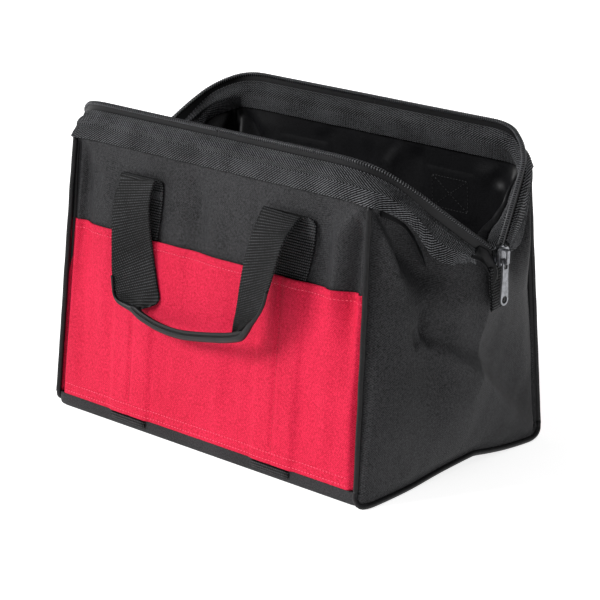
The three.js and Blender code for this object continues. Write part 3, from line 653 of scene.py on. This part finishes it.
def band_section(side, s, line, t, leaf):
    """A leaf of the webbing from its hem up round the wire to the zip tape."""
    p, out, up, reach = mouth_frame(side, line, t)
    out = out * leaf
    corner = hump((reach - 12) / 14) * ease(reach / 9)
    low = band_hem(side, s, line, t, leaf)
    wave, rock = 0.5 * soft(s * t / 17, leaf, 5.5), 0.3 * soft(s * t / 9, leaf + 3, 1.5)
    low += out * (0.3 + wave * (1 - corner)) + up * rock
    shoulder = p + out * (3.4 + 1.8 * corner) - up * 2.5
    rise = 1 - 0.5 * ease((reach - 16) / 34)
    return Line(rounded([low, low.lerp(shoulder, 0.5) + out * 0.6, shoulder,
                         p + out * (3.75 + 1.6 * corner) - up * 0.3,
                         p + out * (3.1 + corner) + up * 2.1 * rise, p + out * 2.0 + up * 4.0 * rise,
                         p + out * 1.25 + up * 5.4 * rise, p + out * 1.0 + up * 7.4 * rise], 3))


def make_band(side, s):
    """Half of the webbing round one side of the mouth, in an outer and an inner leaf, and its stitches."""
    word, near = NAMES[side][s], TURN[side] * s
    line = bow_line(side, s, stop=ARM - BAND_STOP)
    bm, stitches = bmesh.new(), bmesh.new()
    for leaf in (1, -1):
        sections = {}

        def place(u, v):
            key = round(v, 5)
            if key not in sections:
                t = line.length * v
                sections[key] = (band_section(side, s, line, t, leaf), *mouth_frame(side, line, t)[1:3])
            section, out, up = sections[key]
            rise = BAND_WIDTH * min(u, 1 - u)
            stroke = 0.3 * math.sin(2 * math.pi * (s * line.length * v - STROKE_SLANT * rise) / STROKE)
            facing = out * leaf * (1 - 0.6 * ease((u - 0.55) / 0.4)) + up * ease((u - 0.5) / 0.4)
            return section.point(section.length * u) + facing.normalized() * stroke

        add_cloth(bm, 36, int(line.length / 0.75), place, (BAND_WIDTH, s * line.length))
        seam = []
        for k in range(int(line.length / 3) + 1):
            section = band_section(side, s, line, 3.0 * k, leaf)
            seam.append(section.point(section.length - 3.0) + outward(line, 3.0 * k) * (leaf * 0.9))
        for a, b in zip(seam, seam[1:]):
            add_stitches(stitches, [a, b], outward(line, line.length / 2) * leaf, gap=1.0, thread=0.3)
    bmesh.ops.recalc_face_normals(bm, faces=bm.faces[:])
    band = piece(f"{side}_{word}_mouth_webbing", bm, "band_webbing", BAND, thick=WEBBING, offset=0)
    thread = piece(f"{side}_{word}_mouth_stitches", stitches, "band_webbing", THREAD)
    for cloth in (band, thread):
        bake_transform(cloth)
    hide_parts(f"{side}_band", f"{side}_{word}_arm_band")


def make_tape(side, s):
    line = bow_line(side, s)
    bm = bmesh.new()

    def place(u, v):
        p, out, up, reach = mouth_frame(side, line, line.length * v)
        return p + up * (TAPE_LOW + TAPE_WIDTH * u)

    add_cloth(bm, 8, int(line.length), place, (TAPE_WIDTH, s * line.length))
    tape = piece(f"{side}_{NAMES[side][s]}_tape", bm, "zip_tape", TAPE, thick=THIN_WEBBING, offset=0)
    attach(tape, f"{side}_frame")
    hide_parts(f"{side}_zip_tape")


def make_coil(side, s):
    """Half of one side of the zip: a wound wire with a dark core."""
    line = bow_line(side, s)
    bm = bmesh.new()
    around, turns = 10, int(line.length / COIL_PITCH)
    wound = []
    for k in range(turns * around + 1):
        angle = 2 * math.pi * k / around
        p, out, up, reach = mouth_frame(side, line, k / around * COIL_PITCH)
        wound.append(p + out * (COIL_DEEP * math.cos(angle)) + up * (COIL_UP + COIL_HIGH * math.sin(angle)))
    add_tube(bm, Line(wound), lambda t, turn: COIL_WIRE, 6, turns * around)
    wire_faces = len(bm.faces)
    spots = [mouth_frame(side, line, line.length * k / 60) for k in range(61)]
    core = Line([p + up * COIL_UP for p, out, up, reach in spots])
    add_tube(bm, core, lambda t, turn: COIL_CORE, 10, 90)
    bm.faces.ensure_lookup_table()
    for face in bm.faces[wire_faces:]:
        face.material_index = 1
    coil = piece(f"{side}_{NAMES[side][s]}_coil", bm, "zip_coil", COIL, TAPE)
    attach(coil, f"{side}_frame")
    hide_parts(f"{side}_zip_coil")


# Handles

# How the two straps of a handle hang, from the fold to the grip: across, out from the fold and high, for the edge
# beside the grip and then for the outside edge. The left one stays near the wall and the right one stands off
HANG = {
    -1: [(-57.3, 0.1, 203.4, -95.9, 0.1, 197.4),
         (-59.1, 2.8, 193.3, -97.4, 4.8, 185.9),
         (-59.2, 4.4, 181, -96.8, 8.3, 170.6),
         (-58.5, 4.4, 167.6, -96.1, 9.8, 152.6),
         (-57.2, 3.2, 150.9, -95.3, 10.8, 131.1),
         (-54.7, 2.8, 134.5, -94.3, 10.8, 117.7),
         (-51.5, 3.4, 120.9, -92.5, 10.8, 107.2),
         (-49.9, 5.3, 109.5, -85.5, 11.3, 103.1),
         (-63.8, 10.3, 102.7, -70.7, 12.3, 101.2)],
    1: [(57.6, 0.1, 204.4, 94.6, 0.3, 202.8),
        (56.8, 7.8, 191.8, 94.3, 9.3, 195.8),
        (55.4, 13.3, 177.4, 94, 17.3, 187.6),
        (54.4, 17.3, 162.7, 92.6, 22.3, 173.7),
        (53.4, 20.3, 145.3, 90.2, 24.8, 161),
        (53, 21.8, 135, 87.3, 25.8, 150.8),
        (52, 23.1, 125.1, 83.8, 26.4, 138.8),
        (50.4, 24, 117.3, 77.7, 26.8, 129),
        (48.6, 24.8, 108.8, 66.4, 26.4, 116.6)]}
# How far the sewn part of a strap stands to the right of its hanging part, at the fold
SKEW = {-1: 6.0, 1: 9.5}
# The grip's middle line, as places across, out and high
GRIP = [(-69.6, 11.8, 100.6), (-57.5, 13.1, 97.1), (-36.5, 15, 93.9), (-12.1, 17.3, 94.2),
        (11.9, 19.6, 98), (39.7, 22.8, 104.1), (54.8, 24.8, 108.5), (63.2, 26, 112.8)]
GRIP_R = 3.5


class Ribbon:
    """A strip between two edge lines that have the same rows, read by the distance along its middle."""

    def __init__(self, inner, outer, steps=8):
        self.inner, self.outer = rounded(inner, steps), rounded(outer, steps)
        self.middle = Line([(p + q) / 2 for p, q in zip(self.inner, self.outer)])
        self.length = self.middle.length

    def point(self, t, share):
        k, f = self.middle.seek(t)
        inner, outer = self.inner[k].lerp(self.inner[k + 1], f), self.outer[k].lerp(self.outer[k + 1], f)
        return inner.lerp(outer, share)

    def facing(self, t, share):
        along = self.point(t + 1.5, share) - self.point(t - 1.5, share)
        return along.cross(self.point(t, 1) - self.point(t, 0)).normalized()


def strap_ribbons(side, s):
    """A handle strap's sewn part, up the wall, and its hanging part, over the fold and down to the grip."""
    k, pivot = TURN[side], on_wall(side, 0, PIVOT_OUT, PIVOT_V)
    back, low = 0.3 + STRAP_THICK / 2, PIVOT_V - FOLD_LOW
    edges = (s * (STRAP_X - STRAP_WIDTH / 2), s * (STRAP_X + STRAP_WIDTH / 2))

    def sewn_at(x, v):
        return on_wall(side, x + SKEW[s] * ease((v - 120) / 60), back, v)

    sewn = Ribbon(*([sewn_at(x, v) for v in (0.6, 40, 80, 120, 140, 160, 175, low - 2)] for x in edges))
    hung = [[sewn_at(x, v) for v in (low - 8, low - 4)] for x in edges]
    for points, x, share in zip(hung, edges, (0, 3)):
        first = HANG[s][0][share]
        for n in range(8):
            turn = n / 8
            out = back + (PIVOT_OUT - back) * (1 - math.cos(math.pi * turn)) / 2
            shift = (x + SKEW[s]) * (1 - ease(turn)) + first * ease(turn)
            up = low + FOLD_LOW * turn + FOLD_RISE * math.sin(math.pi * turn)
            points.append(on_wall(side, shift, out, up))
        for row in HANG[s]:
            across, off, high = row[share:share + 3]
            points.append(Vector((k * across, pivot.y - k * off, high)))
    return sewn, Ribbon(*hung)


def make_handle(side):
    body = f"{side}_handle"
    k, pivot = TURN[side], on_wall(side, 0, PIVOT_OUT, PIVOT_V)
    tongues = {}
    for s in (-1, 1):
        word = NAMES[side][s]
        for part, ribbon in zip(("sewn", "hung"), strap_ribbons(side, s)):

            def place(u, v):
                t = ribbon.length * v
                p = ribbon.point(t, u)
                face = ribbon.facing(min(max(t, 2), ribbon.length - 2), u) * -s
                share = t / ribbon.length if part == "hung" else 0
                belly = 1.6 * math.sin(math.pi * u) * ease((share - 0.25) / 0.3)
                crease = 1.5 * math.sin(u * 9 + 0.6) * ease((share - 0.86) / 0.12)
                return p + face * (0.4 * abs(math.sin(math.pi * t / RIB)) + belly + crease)

            bm = bmesh.new()
            add_cloth(bm, 20, int(ribbon.length / 0.55), place, (STRAP_WIDTH, ribbon.length))
            strap = piece(f"{side}_{word}_{part}_webbing", bm, "strap_webbing", STRAP, thick=WEBBING, offset=0)
            if part == "sewn":
                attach(strap, f"{side}_wall")
                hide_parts(f"{side}_{word}_strap")
            else:
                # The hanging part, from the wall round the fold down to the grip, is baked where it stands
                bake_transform(strap)
                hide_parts(f"{side}_{word}_fold", f"{side}_{word}_handle_strap")
                spots = [ribbon.length * far for far in (0.74, 0.81, 0.87, 0.92, 0.96)]
                tongues[s] = [ribbon.point(t, 0.985) - Vector((0, k * 0.8, 0)) for t in spots]

    # The grip's cover: a tube with a piped seam, whose ends run out along the straps' outside edges
    bm = bmesh.new()
    middle = [Vector((k * x, pivot.y - k * o, z)) for x, o, z in GRIP]
    line = Line(rounded([*tongues[-1], *middle, *reversed(tongues[1])], 6))
    left = Line(rounded([*tongues[-1], *middle[:1]], 6)).length
    right = Line(rounded([*middle[-1:], *reversed(tongues[1])], 6)).length

    def girth(t, turn):
        lip = hump(math.sin((turn - 1.1) / 2) / 0.17)
        grooves = hump(math.sin((turn - 0.66) / 2) / 0.08) + hump(math.sin((turn - 1.54) / 2) / 0.08)
        end = min(t - left, line.length - right - t)
        radius = 1.1 + 1.5 * ease((end + 26) / 22) + (GRIP_R - 2.6) * ease((end + 5) / 11)
        seam = (1.7 * lip - 1.5 * grooves) * ease((end + 4) / 8)
        return radius + seam + 0.2 * soft(t / 12, math.cos(turn), 3.3)

    add_tube(bm, line, girth, 60, 180)
    grip = piece(f"{side}_grip_cover", bm, "body_cloth", GRIP_CLOTH)
    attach(grip, body)
    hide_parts(f"{side}_handle_grip")


# Ends: one cloth from corner cord to corner cord, in a front and a rear half

def end_rim(side, s):
    """An end cloth's upper edge, between the leaves of the webbing, from the zip's end to the corner cord."""
    k = TURN[side]
    spots = [Vector((k * s * 198.4, 0, 172))]
    line = bow_line(side, s)
    for t in range(int(line.length) - 8, 0, -11):
        p, out, up, reach = mouth_frame(side, line, t)
        if reach < 11:
            break
        spots.append(p - up * (table(ARM_DROP, reach) - 6))
    spots.append(on_wall(side, s * 153.8, -1.0, BAND_V + 2))
    return Line(rounded(spots, 4))


# The seam along an end's lower edge, from its front corner to its rear one: along the end, across and high
BASE_EDGE = [(-108.2, 161.9, 13), (-109.2, 162.6, 7), (-109.4, 166.3, 3.0), (-105.5, 169.6, 2.4),
             (-92, 170, 2.3), (-56, 167.8, 2.9), (-18, 165.8, 6.0), (16, 165.6, 8.8), (24, 165.6, 8.8),
             (40, 165.4, 6.4), (62, 165.2, 3.8), (88, 165.2, 2.4), (99, 164.8, 3.0), (106, 163.4, 6.5),
             (107.6, 162.2, 13)]


def base_edge(s):
    return Line(rounded([(s * x, s * y, z) for y, x, z in BASE_EDGE], 8))


def join_end(cloth):
    """Fixes an end's cloth where it stands, with its transform baked into its mesh."""
    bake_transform(cloth)


# Half an end's cloth, laid flat: along the end and up it
END_HALF, END_HIGH = 104, 205


def make_end(s):
    word = "right" if s > 0 else "left"
    for side in ("front", "rear"):
        k = TURN[side]
        rim = end_rim(side, k * s)
        foot = base_edge(s)
        middle, corner = foot.length * 0.515, foot.length * (0.035 if k * s > 0 else 0.965)

        def place(u, v):
            across = 1 - u if k * s > 0 else u
            top = rim.point(rim.length * across)
            low = foot.point(middle + (corner - middle) * across) + UP * 1.2
            p = low.lerp(top, v)
            beside = (1 - across) * END_HALF
            held = ease((1 - v) / 0.05) * ease(v / 0.06) * ease(beside / 4)
            y = p.y * s
            relief = folded(END_FOLDS, y, p.z) + 7.0 * math.sin(math.pi * v ** 0.8) * (1 - across ** 2)
            relief += 1.6 * soft(y / 40, p.z / 60, 71.7 + s) + 0.6 * soft(y / 16, p.z / 28, 77.7 + s)
            groove = 4.2 * hump((beside - 3.4) / 2.8) * ease(v / 0.04) * ease((1 - v) / 0.06)
            return p + Vector((s * (relief * held - groove), 0, 0))

        bm = bmesh.new()
        add_cloth(bm, 90, 130, place, (END_HALF, END_HIGH))
        cloth = piece(f"{word}_end_{side}_cloth", bm, "body_cloth", BLACK, COATING, thick=END_CLOTH)
        join_end(cloth)
        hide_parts(f"{word}_end_panel", f"{word}_end_gusset")


def make_lining_fold(s):
    """An end's lining folds inwards below the webbing: a narrow shelf that widens towards the zip's end."""
    word = "right" if s > 0 else "left"
    for side in ("front", "rear"):
        k = TURN[side]
        line = bow_line(side, k * s, stop=ARM - BAND_STOP)
        rows = []
        for t in range(0, int(line.length), 3):
            p, out, up, reach = mouth_frame(side, line, t)
            if reach > 12:
                wide = 1 + 8 * ease((reach - 12) / 70)
                hem = band_hem(side, k * s, line, t, -1) + UP * 1.5
                crease = hem - out * wide + UP * 1.5
                under = crease + out * (wide + 2) - UP * (6 + 2 * wide)
                rows.append(Line(rounded([hem, hem.lerp(crease, 0.5) + UP, crease,
                                          crease + out * 1.5 - UP * 3, under], 4)))

        def place(u, v):
            n, part = step_at(rows, u)
            a, b = rows[n], rows[n + 1]
            return a.point(a.length * v).lerp(b.point(b.length * v), part)

        bm = bmesh.new()
        add_cloth(bm, 60, 20, place, (100, 40))
        cloth = piece(f"{word}_{side}_lining_fold", bm, "body_cloth", COATING, thick=LINING, offset=0)
        join_end(cloth)


ZIP_END_X = 200.0


def make_zip_tabs():
    """The webbing tabs under the zip's ends: the right one narrower, lower and a little askew."""
    for s, word in ((-1, "left"), (1, "right")):
        x = s * ZIP_END_X
        wide, high, low, lean, off = (14.0, 170.0, 136.5, 3.5, 3.5) if s > 0 else (16.0, 177.0, 143.0, 0.0, 0)
        line = Line(rounded([(x - s * 0.9, 0, high), (x - s * 0.8, 0, low + 8), (x - s * 0.7, 0, low + 1.5),
                             (x, 0, low), (x + s * 0.9, 0, low + 1.5), (x + s * 1.1, 0, low + 8),
                             (x + s * 0.8, 0, high)], 8))

        def place(u, v):
            p = line.point(line.length * v)
            drop = (high - p.z) / (high - low)
            y = (u - 0.5) * wide - off + lean * drop
            return Vector((p.x + s * 0.5 * math.sin(u * 5 + 1) * drop, y, p.z + 1.2 * (u - 0.5)))

        bm = bmesh.new()
        add_cloth(bm, 14, 150, place, (wide, line.length))
        bmesh.ops.recalc_face_normals(bm, faces=bm.faces[:])
        tab = piece(f"{word}_tab_webbing", bm, "strap_webbing", STRAP, thick=THIN_WEBBING, offset=0)
        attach(tab, f"{word}_tail")
        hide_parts(f"{word}_zip_tab")


def make_tape_flap():
    """The loose end of the tape beside the slider, crumpled."""
    bm = bmesh.new()
    line = Line(rounded([(193.0, -20, 182.5), (196.5, -14, 178), (199.0, -9, 171), (200.8, -5.5, 165),
                         (201.0, -4, 160)], 8))

    def place(u, v):
        p = line.point(line.length * v)
        wide = 12.0 - 3.0 * v
        crumple = 1.3 * math.sin(u * 7 + v * 5) * math.sin(v * 3.0) + 0.8 * soft(u * 3, v * 4, 8.8)
        return p + Vector((crumple + 0.6, (u - 0.5) * wide * 0.75, (u - 0.5) * wide * 0.6))

    add_cloth(bm, 16, 24, place, (12, 30))
    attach(piece("right_tape_flap", bm, "zip_tape", TAPE, thick=LINING, offset=0), "right_tail")


def make_tray():
    """The base's cloth, made of rings from its upper edge round the lower one to the middle of its underside."""
    wide, deep, bend, rim, flat = BAG_WIDTH / 2 - 2.2, BAG_DEPTH / 2 + 0.4, 7.0, 11.3, 0.5
    ring = []
    for n, (sx, sy) in enumerate(((1, -1), (1, 1), (-1, 1), (-1, -1))):
        for step in range(7):
            turn = math.pi / 2 * (n - 1 + step / 6)
            x, y = sx * (wide - bend) + bend * math.cos(turn), sy * (deep - bend) + bend * math.sin(turn)
            ring.append(Vector((x, y, 0)))
    ring = Line([*ring, ring[0]])
    profile = Line(rounded([(1, 0, rim), (1.002, 0, 8), (1.002, 0, 5), (0.999, 0, 2.6), (0.99, 0, 1.0),
                            (0.97, 0, flat), (0.9, 0, flat), (0.7, 0, flat), (0.4, 0, flat), (0, 0, flat)], 5))
    edges = {s: base_edge(s) for s in (-1, 1)}
    heights = {s: [(p.y, p.z) for p in sorted(edges[s].points, key=lambda p: p.y)] for s in edges}

    def place(u, v):
        n, part = step_at(profile.points, v)
        row = profile.points[n].lerp(profile.points[n + 1], part)
        p = ring.point(ring.length * u) * row.x
        s = 1 if p.x > 0 else -1
        bulge = ease((abs(p.x) - 138) / 24) * ease((-p.y * s - 84) / 20)
        lift = (table(heights[s], p.y) - 2.4) * ease((abs(p.x) - 120) / 40) * ease((107 - abs(p.y)) / 6)
        return Vector((p.x + s * 5.5 * bulge, p.y, row.z + max(lift, 0) * max(1 - row.z / rim, 0)))

    bm = bmesh.new()
    made = add_cloth(bm, 260, 45, place, (2 * (wide + deep) * 2, 120))
    bmesh.ops.remove_doubles(bm, verts=made, dist=1e-6)
    bmesh.ops.recalc_face_normals(bm, faces=bm.faces[:])
    shell = piece("base_cloth", bm, "body_cloth", BLACK, COATING, thick=WALL_CLOTH)
    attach(shell, "base")
    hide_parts("bottom_panel")


def make_base_cord(s):
    word = "right" if s > 0 else "left"
    bm = bmesh.new()
    add_tube(bm, base_edge(s), lambda t, turn: BASE_CORD_R, 12, 130, up=Vector((s, 0, 0)))
    piping = piece(f"{word}_base_cord", bm, "piping", CORD)
    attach(piping, "base")
    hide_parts(f"{word}_base_piping")


def make_base_strap(s):
    word = "right" if s > 0 else "left"
    out, low = BAG_DEPTH / 2 + 0.4 + 0.9, STRAP_THICK / 2 - 0.5
    half = [(out, 10.5), (out, 7.5), (out - 2, 3.4), (out - 6.5, low), (out - 13, low), (50, low)]
    loop = [(-y, z) for y, z in half] + half[::-1]
    line = Line(rounded([(s * STRAP_X, y, z) for y, z in loop], 6))
    bm = bmesh.new()

    def place(u, v):
        return line.point(v * line.length) + Vector(((u - 0.5) * STRAP_WIDTH, 0, 0))

    add_cloth(bm, 6, 160, place, (STRAP_WIDTH, line.length))
    strap = piece(f"{word}_base_webbing", bm, "strap_webbing", STRAP, thick=BASE_WEBBING, offset=0)
    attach(strap, "base")
    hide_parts(f"{word}_under_strap")


def dress_nodes():
    """Gives the frame's own rigid solids, which are kept, their finishes."""
    kept = {BOARD: ("base_board",), STEEL: ("front_wire", "rear_wire"),
            GUNMETAL: ("slider_body", "slider_puller", "left_zip_stop")}
    for finish, names in kept.items():
        for name in names:
            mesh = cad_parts[name].data
            mesh.materials.clear()
            mesh.materials.append(finish)


for side in ("front", "rear"):
    make_wall(side)
    make_pocket(side)
    for s in (-1, 1):
        make_corner_cord(side, s)
        make_patch(side, s)
    for s in (-1, 1):
        make_band(side, s)
        make_tape(side, s)
        make_coil(side, s)
    make_handle(side)
for s in (-1, 1):
    make_end(s)
    make_lining_fold(s)
make_zip_tabs()
make_tape_flap()
make_tray()
for s in (-1, 1):
    make_base_cord(s)
    make_base_strap(s)
dress_nodes()


# Studio

# The lights, all suns: where each one stands, its strength, and how wide it looks in degrees
LIGHTS = {"key": ((-1.5, -2.0, 1.5), 3.35, 25), "side": ((2.2, -0.9, 1.3), 0.15, 60),
          "top": ((0.3, -0.4, 3.0), 0.28, 50)}
LIT_POINT, ROOM_LIGHT, FLOOR_REACH = Vector((0, 0, 0.1)), 0.17, 20.0
# The photograph's camera, as fitted to the bag's corners: angles, then metres, and its focal length in pixels
AZIMUTH, ELEVATION, ROLL = math.radians(42.76), math.radians(16.57), math.radians(0.91)
AIM, DISTANCE, FOCUS, FRAME_WIDTH = Vector((0.00948, -0.00608, 0.10346)), 1.83466, 2333.0, 600


def make_lights():
    for name, (place, strength, width) in LIGHTS.items():
        light = bpy.data.lights.new(name, "SUN")
        light.energy = strength
        light.angle = math.radians(width)
        obj = bpy.data.objects.new(name, light)
        obj.location = Vector(place)
        obj.rotation_euler = (LIT_POINT - Vector(place)).to_track_quat("-Z", "Y").to_euler()
        bpy.context.scene.collection.objects.link(obj)
    world = bpy.data.worlds.new("studio")
    world.use_nodes = True
    background = world.node_tree.nodes["Background"]
    background.inputs["Color"].default_value = (1, 1, 1, 1)
    background.inputs["Strength"].default_value = ROOM_LIGHT
    bpy.context.scene.world = world
    bpy.context.scene.view_settings.view_transform = "Standard"


def make_camera():
    level = math.cos(ELEVATION)
    back = Vector((math.sin(AZIMUTH) * level, -math.cos(AZIMUTH) * level, math.sin(ELEVATION)))
    right = Vector((0, 0, 1)).cross(back).normalized()
    up = back.cross(right)
    right, up = right * math.cos(ROLL) + up * math.sin(ROLL), up * math.cos(ROLL) - right * math.sin(ROLL)
    camera = bpy.data.cameras.new("camera")
    camera.sensor_width = 36.0
    camera.lens = FOCUS / FRAME_WIDTH * camera.sensor_width
    camera.clip_end = 30.0
    obj = bpy.data.objects.new("camera", camera)
    turned = Matrix((right, up, back)).transposed().to_4x4()
    obj.matrix_world = Matrix.Translation(AIM + back * DISTANCE) @ turned
    bpy.context.scene.collection.objects.link(obj)
    bpy.context.scene.camera = obj


def make_studio():
    bm = bmesh.new()
    bmesh.ops.create_grid(bm, x_segments=1, y_segments=1, size=FLOOR_REACH)
    floor = piece("studio_floor", bm, None, FLOOR, smooth=False)
    make_lights()
    make_camera()


make_studio()

bpy.context.view_layer.update()
